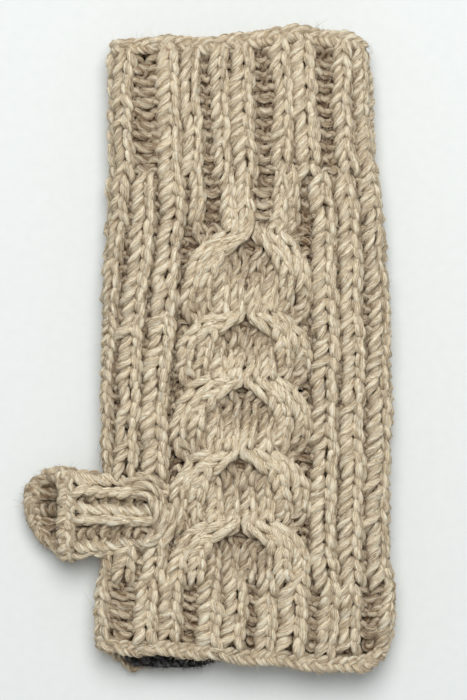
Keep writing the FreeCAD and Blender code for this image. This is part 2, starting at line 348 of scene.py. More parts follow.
def wale_table(name):
    """Tables over v of each wale's centre, width and rise."""
    zone = ZONES[name]
    rows = zone["rows"]
    v = np.arange(-TABLE_BEFORE, zone["count"] + TABLE_AFTER, GRID_STEP)
    y = np.interp(v, rows[:, 0], rows[:, 1])
    kinds, centre, width = spread(zone, y)
    kind = kinds[:, None] + np.zeros_like(centre)
    first = len(zone["palm"].split())
    last = first + len(zone["back"].split())
    cable = np.zeros(0, int)
    if name == "hand":
        cable = first + CABLE_FIRST + np.arange(CABLE_WIDTH)
        ribbed = 1.0 - smooth((v - RIB_END[0]) / (RIB_END[1] - RIB_END[0]))
        panel_width = width[cable].sum(axis=0)
        start = centre[cable[0]] - 0.5 * width[cable[0]]
        even = np.full((CABLE_WIDTH, 1), 1.0 / CABLE_WIDTH)
        share = even + ribbed * (np.array(RIB_SHARES)[:, None] - even)
        width[cable] = share * panel_width
        centre[cable] = start + np.cumsum(width[cable], axis=0) - 0.5 * width[cable]
        kind[cable] = 1.0 + ribbed * (np.array(RIB_KINDS)[:, None] - 1.0)
        slots, lifts = cable_slots(v)
        own = centre[cable].copy()
        columns = np.arange(len(v))
        for wale, index in enumerate(cable):
            low = np.clip(np.floor(slots[wale]).astype(int), 0, CABLE_WIDTH - 2)
            part = slots[wale] - low
            centre[index] = own[low, columns] * (1.0 - part) + own[low + 1, columns] * part
    sink = np.where(width < GULLY_WIDTH, GULLY_SINK, PURL_SINK)
    rise = KNIT_RISE + 0.5 * (1.0 - kind) * (sink - KNIT_RISE)
    if name == "hand":
        rise[cable] += np.where(lifts > 0.0, CABLE_OVER, CABLE_UNDER) * lifts
    phase = TAU * rng.random((len(kinds), 2, 1))
    centre += WALE_WANDER * np.sin(TAU * y / WANDER_LENGTHS[0] + phase[:, 0])
    centre += 0.5 * WALE_WANDER * np.sin(TAU * y / WANDER_LENGTHS[1] + phase[:, 1])
    return {
        "v": v, "y": y, "kind": kind, "centre": centre, "width": width, "rise": rise,
        "first": first, "last": last, "cable": cable, "count": zone["count"],
    }


def thumb_table():
    """The same tables for the thumb, whose "y" is its round number."""
    v = np.arange(-TABLE_BEFORE, THUMB_ROUNDS + TABLE_AFTER, GRID_STEP)
    kinds, widths = wales(THUMB_WALES)
    widths = widths[:, None] * 2.0 * thumb_side_length(v) / widths.sum()
    centre = np.cumsum(widths, axis=0) - 0.5 * widths + THUMB_TUCK
    kind = kinds[:, None] + np.zeros_like(centre)
    return {
        "v": v, "y": v, "kind": kind, "centre": centre, "width": widths,
        "rise": np.where(kind > 0, KNIT_RISE, np.where(widths < GULLY_WIDTH, GULLY_SINK, PURL_SINK)),
        "cable": np.zeros(0, int), "count": THUMB_ROUNDS,
    }


def round_order(table, r):
    """Indexes of the wales in the order that the round's yarn visits them."""
    order = np.arange(len(table["centre"]))
    where = table["cable"]
    if len(where):
        column = np.searchsorted(table["v"], r)
        order[where] = where[np.argsort(table["centre"][where, column], kind="stable")]
    return order


def knit_rounds(table, along=1.0):
    """The yarn's path in fabric coordinates and its radius: [round, place in order, sample].

    The four numbers are q, y, rise and radius.  along is the length of a round in y's unit.
    Also gives the order of wales in each round.
    """
    count, total = table["count"], len(table["centre"])
    t = np.linspace(0.0, TAU, SAMPLES + 1)
    rows = np.arange(count)[:, None]
    raw = np.zeros((count, total, SAMPLES + 1, 4))
    slant = np.where(t < math.pi, LEFT_SLANT, RIGHT_SLANT)
    for w in range(total):
        jitter = rng.normal(size=(6, count, 1))
        beyond = -LOOP_REACH * np.cos(t)[None, :]
        v = rows + beyond + JITTER_BEYOND * jitter[4]
        centre = np.interp(v, table["v"], table["centre"][w])
        width = np.interp(v, table["v"], table["width"][w])
        kind = np.interp(v, table["v"], table["kind"][w])
        y = np.interp(v, table["v"], table["y"])
        ahead = np.interp(v + LOOK_AHEAD, table["v"], table["centre"][w]) - centre
        down = np.abs(y - np.interp(v + LOOK_AHEAD, table["v"], table["y"])) * along
        length = np.hypot(ahead, down)
        own_slant = slant * (1.0 + JITTER_SLANT * jitter[3])
        out = width * (t / TAU - 0.5 + own_slant * np.sin(2.0 * t) - LEG_OUT * np.sin(t))
        depth = np.where(kind > 0.0, LOOP_RISE, PURL_SHARE * LOOP_RISE) * kind
        shingle = -SHINGLE * beyond * np.clip(kind, 0.0, 1.0)
        rise = np.interp(v, table["v"], table["rise"][w]) - depth * np.cos(2.0 * t) + shingle
        raw[:, w, :, 0] = centre + out * down / length + JITTER_ACROSS * jitter[0]
        raw[:, w, :, 1] = y + (out * ahead / length + JITTER_ALONG * jitter[1]) / along
        raw[:, w, :, 2] = rise + JITTER_RISE * jitter[2]
        radius = np.clip(RADIUS_PER_ROOT * np.sqrt(width), *RADIUS_LIMITS)
        swell = 1.0 - PINCH + HEAD_BLOOM * np.cos(t) ** 6 + LEG_BLOOM * np.sin(t) ** 6
        raw[:, w, :, 3] = radius * (swell + JITTER_RADIUS * jitter[5])
    orders = np.array([round_order(table, r) for r in range(count)])
    path = np.stack([raw[r, orders[r]] for r in range(count)])
    gap = 0.5 * (path[:, 1:, 0] - path[:, :-1, -1])
    late = smooth((t / TAU - JOIN_FROM) / JOIN_OVER)[None, None, :, None]
    path[:, :-1] += gap[:, :, None] * late
    path[:, 1:] -= gap[:, :, None] * late[:, :, ::-1]
    return path, orders


# ---- meshes -------------------------------------------------------------------------
def frames_along(points, normals):
    """Unit tangents, and two unit vectors across a path that keep to the fabric's normal."""
    tangent = np.gradient(points, axis=0)
    tangent /= np.linalg.norm(tangent, axis=1, keepdims=True) + 1e-9
    across = normals - (normals * tangent).sum(axis=1, keepdims=True) * tangent
    across /= np.linalg.norm(across, axis=1, keepdims=True) + 1e-9
    return across, np.cross(tangent, across)


def make_object(name, vertices, faces, material):
    """A Blender object in metres from points in millimetres and arrays of equal-sided faces."""
    mesh = bpy.data.meshes.new(name)
    mesh.vertices.add(len(vertices))
    mesh.vertices.foreach_set("co", (vertices * MM).astype(np.float32).ravel())
    corners = np.concatenate([block.ravel() for block in faces])
    sizes = np.concatenate([np.full(len(block), block.shape[1]) for block in faces])
    starts = np.concatenate([[0], np.cumsum(sizes)[:-1]])
    mesh.loops.add(len(corners))
    mesh.loops.foreach_set("vertex_index", corners.astype(np.int32))
    mesh.polygons.add(len(sizes))
    mesh.polygons.foreach_set("loop_start", starts.astype(np.int32))
    mesh.update(calc_edges=True)
    mesh.shade_smooth()
    mesh.materials.append(material)
    piece = bpy.data.objects.new(name, mesh)
    bpy.context.scene.collection.objects.link(piece)
    return piece


class Yarns:
    """Collects plied yarns and turns them into one Blender object."""

    def __init__(self, family):
        self.family = family
        # self.depth collects each vertex's painted shade
        self.vertices, self.yarn, self.depth = [], [], []
        self.quads, self.caps, self.total = [], [], 0

    def add(self, points, normals, height, sides, radius=YARN_RADIUS, start=0.0, facing=1.15):
        """A closed yarn along points.  height sets its painted shade: deep parts of the fabric are painted
        darker.

        The last argument says how much darker its inner side is painted than its outer one.
        """
        up, side = frames_along(points, normals)
        step = np.linalg.norm(np.diff(points, axis=0), axis=1)
        along = start + np.concatenate([[0.0], np.cumsum(step)])
        theta = np.linspace(0.0, TAU, sides, endpoint=False)[None, :]
        twist = TAU * along[:, None] / PLY_PITCH
        lobes = np.abs(np.cos(0.5 * PLIES * (theta - twist)))
        uneven = 1.0 + SLUB * np.sin(along / SLUB_LENGTHS[0])
        uneven = uneven + 0.7 * SLUB * np.sin(along / SLUB_LENGTHS[1] + 1.0)
        size = (radius * uneven)[:, None] * (1.0 - PLY_DEPTH + PLY_BULGE * PLY_DEPTH * lobes)
        outwards = up[:, None] * (size * np.cos(theta))[..., None]
        sideways = side[:, None] * (size * np.sin(theta))[..., None]
        self.vertices.append((points[:, None] + (outwards + sideways)).reshape(-1, 3))
        turned = theta - twist
        length = np.broadcast_to(along[:, None], turned.shape)
        straight = np.stack([length, size * np.cos(turned), size * np.sin(turned)], axis=-1)
        self.yarn.append(straight.reshape(-1, 3))
        # Painted shade: darker for deep fabric, for the yarn's inner side and in the grooves between plies
        shade = height[:, None] + facing * size * np.cos(theta) + PLY_GROOVE_PAINTED_SHADE * (lobes - MEAN_LOBE)
        self.depth.append(shade.ravel())
        n = len(points)
        row = self.total + np.arange(n - 1)[:, None] * sides
        first = row + np.arange(sides)[None, :]
        second = row + (np.arange(sides)[None, :] + 1) % sides
        self.quads.append(np.stack([first, second, second + sides, first + sides], axis=-1).reshape(-1, 4))
        self.caps.append(self.total + np.arange(sides)[None, ::-1])
        self.caps.append(self.total + (n - 1) * sides + np.arange(sides)[None, :])
        self.total += n * sides

    def build(self, name, material):
        faces = self.quads + self.caps
        piece = make_object(name, np.concatenate(self.vertices), faces, material)
        vectors = np.concatenate(self.yarn).astype(np.float32).ravel()
        # The depth attribute holds each vertex's painted shade, which darkens the wool's colour
        painted_shades = np.concatenate(self.depth).astype(np.float32)
        piece.data.attributes.new("yarn", "FLOAT_VECTOR", "POINT").data.foreach_set("vector", vectors)
        piece.data.attributes.new("depth", "FLOAT", "POINT").data.foreach_set("value", painted_shades)
        return piece


# ---- materials ----------------------------------------------------------------------
class Shader:
    """A node material with a Principled shader, and short calls to wire it."""

    def __init__(self, name):
        self.material = bpy.data.materials.new(name)
        self.material.use_nodes = True
        self.nodes, self.links = self.material.node_tree.nodes, self.material.node_tree.links
        self.surface = self.nodes["Principled BSDF"]

    def node(self, kind, inputs=None, **settings):
        made = self.nodes.new(kind)
        for key, value in settings.items():
            setattr(made, key, value)
        for key, value in (inputs or {}).items():
            if isinstance(value, bpy.types.NodeSocket):
                self.links.new(value, made.inputs[key])
            else:
                made.inputs[key].default_value = value
        return made

    def place(self):
        return self.node("ShaderNodeTexCoord").outputs["Object"]

    def noise(self, vector, scale, detail=2.0, roughness=0.5):
        inputs = {"Vector": vector, "Scale": scale, "Detail": detail, "Roughness": roughness}
        return self.node("ShaderNodeTexNoise", inputs).outputs["Fac"]

    def stretched(self, vector, scale):
        return self.node("ShaderNodeMapping", {"Vector": vector, "Scale": scale}).outputs["Vector"]

    def ramp(self, value, stops):
        made = self.node("ShaderNodeValToRGB", {"Fac": value})
        elements = made.color_ramp.elements
        for _ in stops[2:]:
            elements.new(0.5)
        for element, (place, colour) in zip(elements, stops):
            element.position = place
            element.color = (*colour, 1.0)
        return made.outputs["Color"]

    def blend(self, factor, first, second, how="MIX"):
        made = self.node("ShaderNodeMix", data_type="RGBA", blend_type=how)
        for socket, value in ((0, factor), (6, first), (7, second)):
            if isinstance(value, bpy.types.NodeSocket):
                self.links.new(value, made.inputs[socket])
            else:
                made.inputs[socket].default_value = value
        return made.outputs[2]

    def map_range(self, value, low, high, to_low, to_high):
        inputs = {"Value": value, "From Min": low, "From Max": high, "To Min": to_low, "To Max": to_high}
        return self.node("ShaderNodeMapRange", inputs).outputs["Result"]

    def finish(self, colour, roughness, height, depth, sheen=0.0, strength=0.6):
        """Wires colour, roughness and a bump whose full height is depth millimetres."""
        self.links.new(colour, self.surface.inputs["Base Color"])
        self.links.new(roughness, self.surface.inputs["Roughness"])
        inputs = {"Height": height, "Strength": strength, "Distance": depth * MM}
        bump = self.node("ShaderNodeBump", inputs)
        self.links.new(bump.outputs["Normal"], self.surface.inputs["Normal"])
        self.surface.inputs["Specular IOR Level"].default_value = 0.05
        self.surface.inputs["Sheen Weight"].default_value = sheen
        self.surface.inputs["Sheen Roughness"].default_value = 0.5
        return self.material


def wool_material():
    """Oatmeal wool: pale, mid and brown fibres laid along the plies, with painted shade in the fabric's deep
    parts, ply grooves and yarns' inner sides.
    """
    s = Shader("heather_wool")
    yarn = s.node("ShaderNodeAttribute", attribute_name="yarn").outputs["Vector"]
    # the yarns' painted shade, stored as the depth attribute
    depth = s.node("ShaderNodeAttribute", attribute_name="depth").outputs["Fac"]
    wavy = s.noise(s.stretched(yarn, (0.5, 0.6, 0.6)), 1.0, 1.0)
    bent = s.node("ShaderNodeVectorMath", {0: yarn, 1: wavy}, operation="ADD").outputs["Vector"]
    fibre = s.noise(s.stretched(bent, (0.20, 1.9, 1.9)), 1.0, 3.0, 0.65)
    fine = s.noise(s.stretched(bent, (0.5, 5.5, 5.5)), 1.0, 2.0, 0.6)
    patch = s.noise(s.stretched(yarn, (0.05, 0.2, 0.2)), 1.0, 2.0)
    dark, mid, pale = (0.310, 0.190, 0.085), (0.905, 0.745, 0.505), (1.000, 0.965, 0.795)
    colour = s.ramp(fibre, [(0.39, dark), (0.50, mid), (0.60, pale)])
    colour = s.blend(0.38, colour, s.ramp(fine, [(0.36, dark), (0.60, pale)]))
    colour = s.blend(s.map_range(patch, 0.3, 0.7, 0.0, 0.3), colour, (*mid, 1.0))
    # Painted shade: a low depth value darkens the colour towards a brown crevice tint, on top of the real
    # shadows
    deepest, highest = -1.3, 4.8
    painted_crevice_shade = (0.140, 0.064, 0.012, 1.0)
    painted_shade_share = s.map_range(depth, deepest, highest, 0.90, 0.0)
    shaded = s.blend(1.0, colour, painted_crevice_shade, "MULTIPLY")
    colour = s.blend(painted_shade_share, colour, shaded)
    rough = s.map_range(fibre, 0.3, 0.7, 0.82, 0.98)
    height = s.node("ShaderNodeMath", {0: fibre, 1: fine}, operation="ADD").outputs[0]
    return s.finish(colour, rough, height, 0.4, sheen=0.03, strength=1.0)


def fuzz_material():
    """Loose fibres, from the wool's brown to its pale shade."""
    s = Shader("loose_wool_fibre")
    place = s.place()
    tone = s.noise(place, 90.0, 2.0)
    colour = s.ramp(tone, [(0.36, (0.13, 0.080, 0.045)), (0.52, (0.80, 0.68, 0.50))])
    return s.finish(colour, s.map_range(tone, 0.3, 0.7, 0.8, 0.95), tone, 0.02, sheen=0.2)


def fleece_material():
    """Black polyester fleece: a pilled nap with grey lights on it."""
    s = Shader("black_fleece")
    place = s.place()
    pills = s.noise(place, 620.0, 3.0, 0.6)
    nap = s.noise(place, 2600.0, 2.0, 0.6)
    both = s.node("ShaderNodeMath", {0: pills, 1: nap}, operation="ADD").outputs[0]
    colour = s.ramp(pills, [(0.43, (0.006, 0.006, 0.006)), (0.66, (0.150, 0.155, 0.150))])
    return s.finish(colour, s.map_range(nap, 0.3, 0.7, 0.85, 1.0), both, 0.8, sheen=0.12, strength=1.0)


def thread_material():
    """Black sewing thread with a fine twist."""
    s = Shader("sewing_thread")
    place = s.place()
    twist = s.noise(s.stretched(place, (2200.0, 2200.0, 700.0)), 1.0, 2.0)
    colour = s.ramp(twist, [(0.3, (0.010, 0.010, 0.011)), (0.7, (0.060, 0.060, 0.062))])
    return s.finish(colour, s.map_range(twist, 0.3, 0.7, 0.45, 0.65), twist, 0.05, sheen=0.1)


def floor_material():
    """Matt white paper."""
    s = Shader("white_table")
    place = s.place()
    grain = s.noise(place, 300.0, 3.0)
    colour = s.ramp(grain, [(0.3, (0.755, 0.782, 0.771)), (0.7, (0.775, 0.802, 0.791))])
    return s.finish(colour, s.map_range(grain, 0.3, 0.7, 0.6, 0.7), grain, 0.02)


WOOL = wool_material()
FUZZ = fuzz_material()
FLEECE = fleece_material()
THREAD = thread_material()

# ---- knitting the hand --------------------------------------------------------------
# The stretch of fabric left out of the hand for the thumb: lowest and highest y and q.
OPENING_Y = (-67.0, -45.5)
OPENING_Q = (-6.0, 20.0)
WRIST_CUFF_ROUNDS = 9  # rounds of the wrist zone above the bending rows
BEND_ROUNDS_OF_HAND = 2  # rounds of the hand zone that belong to the bending rows
ROUND_LENGTH = 700.0  # yarn in a round, roughly, so that no two rounds look alike
# Round numbers given to the yarns that aren't rounds of the hand, for the same purpose.
BRAID_NUMBER, THUMB_NUMBER, GUSSET_NUMBER, LADDER_NUMBER = 50, 80, 90, 120.0
INNER_LIMIT, PRESS_GIVE = -2.2, 0.1
surface_points = []  # (piece family, points, normals) where loose fibres can grow


def pressed(rise):
    """Flattens loops that stand deeper inside than INNER_LIMIT, as if against the lining."""
    return np.maximum(rise, INNER_LIMIT + PRESS_GIVE * (rise - INNER_LIMIT))


def runs_of(wanted):
    """Start and end of each unbroken run of true values."""
    edges = np.flatnonzero(np.diff(np.concatenate([[0], wanted.astype(int), [0]])))
    return list(zip(edges[::2], edges[1::2]))


def knit_zone(name, share_out):
    """Knits one zone of the hand.  share_out(round, table) lists (yarns, wales, sides, stride)."""
    table = wale_table(name)
    path, orders = knit_rounds(table)
    total = len(table["centre"])
    for r in range(table["count"]):
        flat = np.concatenate([path[r, :, :-1].reshape(-1, 4), path[r, -1, -1:]])
        points, normals = on_hand(flat[:, 0], flat[:, 1], pressed(flat[:, 2]))
        middle = path[r, :, SAMPLES // 2]
        keep = np.ones(total, bool)
        if name == "hand":
            inside_y = (middle[:, 1] > OPENING_Y[0]) & (middle[:, 1] < OPENING_Y[1])
            keep = ~(inside_y & (middle[:, 0] > OPENING_Q[0]) & (middle[:, 0] < OPENING_Q[1]))
        for yarns, (low, high), sides, stride in share_out(r, table):
            wanted = np.zeros(total, bool)
            wanted[low:high] = keep[low:high]
            for begin, end in runs_of(wanted):
                part = slice(begin * SAMPLES, end * SAMPLES + 1, stride)
                start = ROUND_LENGTH * (r + rng.random())
                # The loop's rise is also its painted shade: deeper loops are painted darker
                yarns.add(points[part], normals[part], flat[part, 2], sides, flat[part, 3], start)
                if stride == BACK_STRIDE:
                    surface_points.append((yarns.family, points[part], normals[part]))


wrist_cuff, bend_rows = Yarns("wrist"), Yarns("wrist")
left_side, cable, right_side, palm = Yarns("hand"), Yarns("hand"), Yarns("hand"), Yarns("palm")
finger_cuff = Yarns("hand")
BACK_LOOK, PALM_LOOK = (BACK_SIDES, BACK_STRIDE), (PALM_SIDES, PALM_STRIDE)


def all_round(yarns, table):
    """One piece for the whole round, finer on the back than on the palm."""
    first, last, total = table["first"], table["last"], len(table["centre"])
    return [
        (yarns, (0, first), *PALM_LOOK),
        (yarns, (first - 1, last + 1), *BACK_LOOK),
        (yarns, (last, total), *PALM_LOOK),
    ]


def share_wrist(r, table):
    return all_round(wrist_cuff if r < WRIST_CUFF_ROUNDS else bend_rows, table)


def share_hand(r, table):
    first, last, total = table["first"], table["last"], len(table["centre"])
    if r < BEND_ROUNDS_OF_HAND:
        return all_round(bend_rows, table)
    panel, panel_end = first + CABLE_FIRST - 1, first + CABLE_FIRST + CABLE_WIDTH + 1
    return [
        (palm, (0, first), *PALM_LOOK),
        (left_side, (first, panel), *BACK_LOOK),
        (cable, (panel, panel_end), *BACK_LOOK),
        (right_side, (panel_end, last), *BACK_LOOK),
        (palm, (last, total), *PALM_LOOK),
    ]


def share_finger(r, table):
    return all_round(finger_cuff, table)


LADDER_RADIUS = 1.3
LADDER_POINTS = 24
LADDER_SAG = 1.2  # how far its ends lie below its middle
LADDER_RISE, LADDER_DIP = -0.8, 1.3  # height of its middle, and how much deeper its ends are
CABLE_MIDDLE = -0.6  # of the cable's axis from the middle of the back
# Threads behind each crossing, where the stitches part and the fabric would show gaps: (below
# the arch's top, distance from the cable's axis, half length).
LADDERS = (
    (2.6, 0.0, 5.5),
    (5.6, 0.0, 7.0),
    (0.4, 0.0, 4.0),
    (16.4, 0.0, 4.0),
    (18.8, 0.0, 4.0),
    (-2.0, 18.0, 4.5),
    (1.6, 18.5, 4.5),
    (5.2, 19.0, 4.0),
    (8.4, 19.0, 3.5),
)


def add_ladders():
    """Lays threads behind the crossings, level in the middle and bent down at their ends."""
    for crossing in CROSSINGS:
        top = np.interp(crossing, HAND_ROWS[:, 0], HAND_ROWS[:, 1])
        middle = 0.5 * back_length(top) + CABLE_MIDDLE
        for below, aside, reach in LADDERS:
            t = np.linspace(-1.0, 1.0, LADDER_POINTS)
            y = top - below - LADDER_SAG * t ** 2
            rise = LADDER_RISE - LADDER_DIP * t ** 2
            radius = LADDER_RADIUS * np.ones(LADDER_POINTS)
            for centre in sorted({middle - aside, middle + aside}):
                points, normals = on_hand(centre + reach * t, y, rise)
                start = ROUND_LENGTH * (LADDER_NUMBER + centre)
                # Their rise is also their painted shade: their deeper ends are painted darker
                cable.add(points, normals, rise, BACK_SIDES, radius, start)


add_ladders()
knit_zone("wrist", share_wrist)
knit_zone("hand", share_hand)
knit_zone("finger", share_finger)


# ---- the edges ----------------------------------------------------------------------
BRAID_STRANDS = 3
BRAID_STEPS = 26  # points along one turn of the plait
BRAID_RISE = 0.4
BRAID_PAINTED_SHADE, BRAID_TOP_PAINTED_LIGHT = 2.6, 0.6  # its painted shade, and how much paler the strands on top are painted: painted light on top
# Hand knitting is uneven: (size, waves round the edge, start) of its slips, and of its swelling.
BRAID_SLIPS = ((0.7, 7.0, 0.0), (0.5, 17.0, 0.0))
BRAID_SWELLS = ((0.10, 11.0, 1.0), (0.08, 29.0, 0.0))
BRAID_WANDER = ((0.4, 47.0, 0.0), (0.35, 19.0, 1.0))  # (size, wave's length, start)


def rippled(base, q, length, ripples):
    """base with waves added that close up after length."""
    for size, waves, start in ripples:
        base = base + size * np.sin(TAU * waves * q / length + start)
    return base


def edge_braid(yarns, place, length, across, width, depth, pitch, radius, inset=0.0):
    """A plait of yarns round an edge.  place(q, across, rise) gives points and normals.

    inset moves the plait inwards on the lower layer, so that it lines the mouth of a tube.
    """
    turns = round(length / pitch)
    q = np.linspace(0.0, length, turns * BRAID_STEPS + 1)
    phase = rippled(TAU * turns * q / length, q, length, BRAID_SLIPS)
    swell = radius * rippled(1.0, q, length, BRAID_SWELLS)
    wander = sum(size * np.sin(TAU * q / wave + start) for size, wave, start in BRAID_WANDER)
    lower = np.clip(-2.0 * np.sin(TAU * q / length), 0.0, 1.0)
    for strand in range(BRAID_STRANDS):
        angle = phase + TAU * strand / BRAID_STRANDS
        offset = across + width * np.sin(angle) + wander
        rise = BRAID_RISE + depth * np.sin(2.0 * angle) - inset * lower
        points, normals = place(q, offset, rise)
        # Painted light and shade: strands on top are painted paler, those beneath darker
        shade = BRAID_PAINTED_SHADE + BRAID_TOP_PAINTED_LIGHT * depth * np.sin(2.0 * angle)
        start = ROUND_LENGTH * (BRAID_NUMBER + strand)
        yarns.add(points, normals, shade, BACK_SIDES, swell, start, facing=0.0)
        surface_points.append((yarns.family, points, normals))


def thumb_place(q, across, rise):
    """On the thumb's rim: across is in millimetres beyond the last round."""
    return on_thumb(q, THUMB_ROUNDS + across / THUMB_ROUND, rise)


CAST_ON_Y, BIND_OFF_Y = 100.4, -102.0
CAST_ON_LENGTH = 2.0 * back_length(101.0)
BIND_OFF_LENGTH = 2.0 * back_length(FINGER_EDGE_Y)
cast_on, bind_off = Yarns("wrist"), Yarns("hand")
edge_braid(cast_on, on_hand, CAST_ON_LENGTH, CAST_ON_Y, width=1.5, depth=1.1, pitch=8.0, radius=1.45)
edge_braid(bind_off, on_hand, BIND_OFF_LENGTH, BIND_OFF_Y, width=1.6, depth=1.1, pitch=8.5, radius=1.45)

# ---- the thumb ----------------------------------------------------------------------
THUMB_SPLIT_X = -52.0  # where the thumb swings: yarns are cut here, on the same section
# How much darker the thumb yarns' inner sides are painted, and how much paler the upper layer is painted
# than its rise alone would make it
THUMB_PAINTED_SIDE_SHADE, THUMB_PAINTED_SHADE = 0.7, 1.5
THUMB_INSIDE_PAINTED_SHADE = 1.7  # one even painted shade for the lower layer, whose inside shows in the mouth
GUSSET_ROUNDS = 2  # rounds of the thumb that belong to its gusset


def add_cut(nearer, further, points, normals, height, radius, start):
    """Adds a yarn to one piece as far as the swing's plane and to another past it."""
    near = points[:, 0] > THUMB_SPLIT_X
    for yarns, wanted in ((nearer, near), (further, ~near)):
        for begin, end in runs_of(wanted):
            part = slice(max(begin - 1, 0), min(end + 1, len(points)))
            if part.stop - part.start > 2:
                lie = (points[part], normals[part], height[part])
                yarns.add(*lie, BACK_SIDES, radius[part], start, THUMB_PAINTED_SIDE_SHADE)


def note_thumb_surface(points, normals):
    """Keeps the places for loose fibres, apart for the thumb's root and its end."""
    near = points[:, 0] > THUMB_SPLIT_X
    surface_points.append(("thumb_root", points[near], normals[near]))
    surface_points.append(("thumb", points[~near], normals[~near]))


gusset, thumb_first, thumb_tube, thumb_rim = [Yarns("thumb") for _ in range(4)]


def knit_thumb():
    path, _ = knit_rounds(thumb_table(), THUMB_ROUND)
    for r in range(THUMB_ROUNDS):
        flat = np.concatenate([path[r, :, :-1].reshape(-1, 4), path[r, -1, -1:]])
        points, normals = on_thumb(flat[:, 0], flat[:, 1], flat[:, 2])
        start = ROUND_LENGTH * (THUMB_NUMBER + r)
        # Painted shade: the lower layer gets one even shade, the upper layer a shade from its loops' rise
        shade = np.where(points[:, 2] < THUMB_MID_Z, THUMB_INSIDE_PAINTED_SHADE, flat[:, 2] + THUMB_PAINTED_SHADE)
        if r < GUSSET_ROUNDS:
            gusset.add(points, normals, shade, BACK_SIDES, flat[:, 3], start)
        else:
            add_cut(thumb_first, thumb_tube, points, normals, shade, flat[:, 3], start)
        note_thumb_surface(points, normals)


knit_thumb()
RIM_LENGTH = 2.0 * thumb_side_length(THUMB_ROUNDS)
edge_braid(thumb_rim, thumb_place, RIM_LENGTH, 0.6, width=1.7, depth=1.2, pitch=8.2, radius=1.5, inset=1.6)

# Strands that curve round the root of the thumb: (reach in x, reach in y, height, first and
# last angle in degrees).
GUSSET_MIDDLE = (-33.5, -55.0)
GUSSET_POINTS = 48
GUSSET_RAISE, GUSSET_DROP, GUSSET_WAVER = 0.5, 2.4, 0.2  # of all strands, at their ends, and along them
# how much thinner the gusset strands are at their ends, and their one even painted shade
GUSSET_THINNING, GUSSET_PAINTED_SHADE = 0.18, 1.6
GUSSET_STRANDS = (
    (4.4, 7.4, 17.2, 112.0, -30.0),
    (6.6, 9.0, 17.2, 36.0, -112.0),
    (7.6, 10.6, 16.6, 128.0, 18.0),
    (9.6, 11.4, 16.4, 20.0, -66.0),
    (10.0, 13.4, 15.4, 134.0, 40.0),
    (12.0, 13.6, 15.2, 50.0, -24.0),
    (10.8, 14.6, 14.4, -40.0, -118.0),
)


def add_gusset_strands():
    for reach_x, reach_y, top, begin, end in GUSSET_STRANDS:
        turn = np.linspace(math.radians(begin), math.radians(end), GUSSET_POINTS)
        share = np.linspace(-1.0, 1.0, GUSSET_POINTS)
        x = GUSSET_MIDDLE[0] + reach_x * np.cos(turn)
        y = GUSSET_MIDDLE[1] + reach_y * np.sin(turn)
        z = top + GUSSET_RAISE - GUSSET_DROP * share ** 4 + GUSSET_WAVER * np.sin(5.0 * turn)
        up = np.tile([0.3, 0.0, 1.0], (GUSSET_POINTS, 1))
        points = np.stack([x, y, z], axis=-1)
        radius = YARN_RADIUS * (1.0 - GUSSET_THINNING * share ** 2)
        # one even painted shade along the strand
        shade = np.full(GUSSET_POINTS, GUSSET_PAINTED_SHADE)
        gusset.add(points, up, shade, BACK_SIDES, radius, ROUND_LENGTH * (GUSSET_NUMBER + reach_x))
        note_thumb_surface(points, up)


add_gusset_strands()


# ---- the lining ---------------------------------------------------------------------
LINING_HALF = 1.3  # half the gap between the lining's two layers
LINING_STEP = 1.2
LINING_INSET = 4.6  # from the knitting's middle surface at a fold
LINING_HOLE_X, LINING_HOLE_MARGIN = -36.0, 3.0  # the thumb's hole is smaller than the knitting's by a margin
LAYER_SHARE = 2.5  # makes the lining's shallow layers follow the knitting's own edges
LINING_ENDS = (-102.9, 98.0)
FLEECE_THICKNESS = 0.9
NUB = 0.17  # how uneven the fleece's surface is
NAP_ROWS = 5  # rows of the sheet at the finger end that show, and get a nap
LIP_X, LIP_WIDTH = -22.5, 13.0  # where the lining peeps out at the finger end
LIP_REACH, LIP_LIFT, LIP_FROM_Y = 3.2, 1.2, -90.0


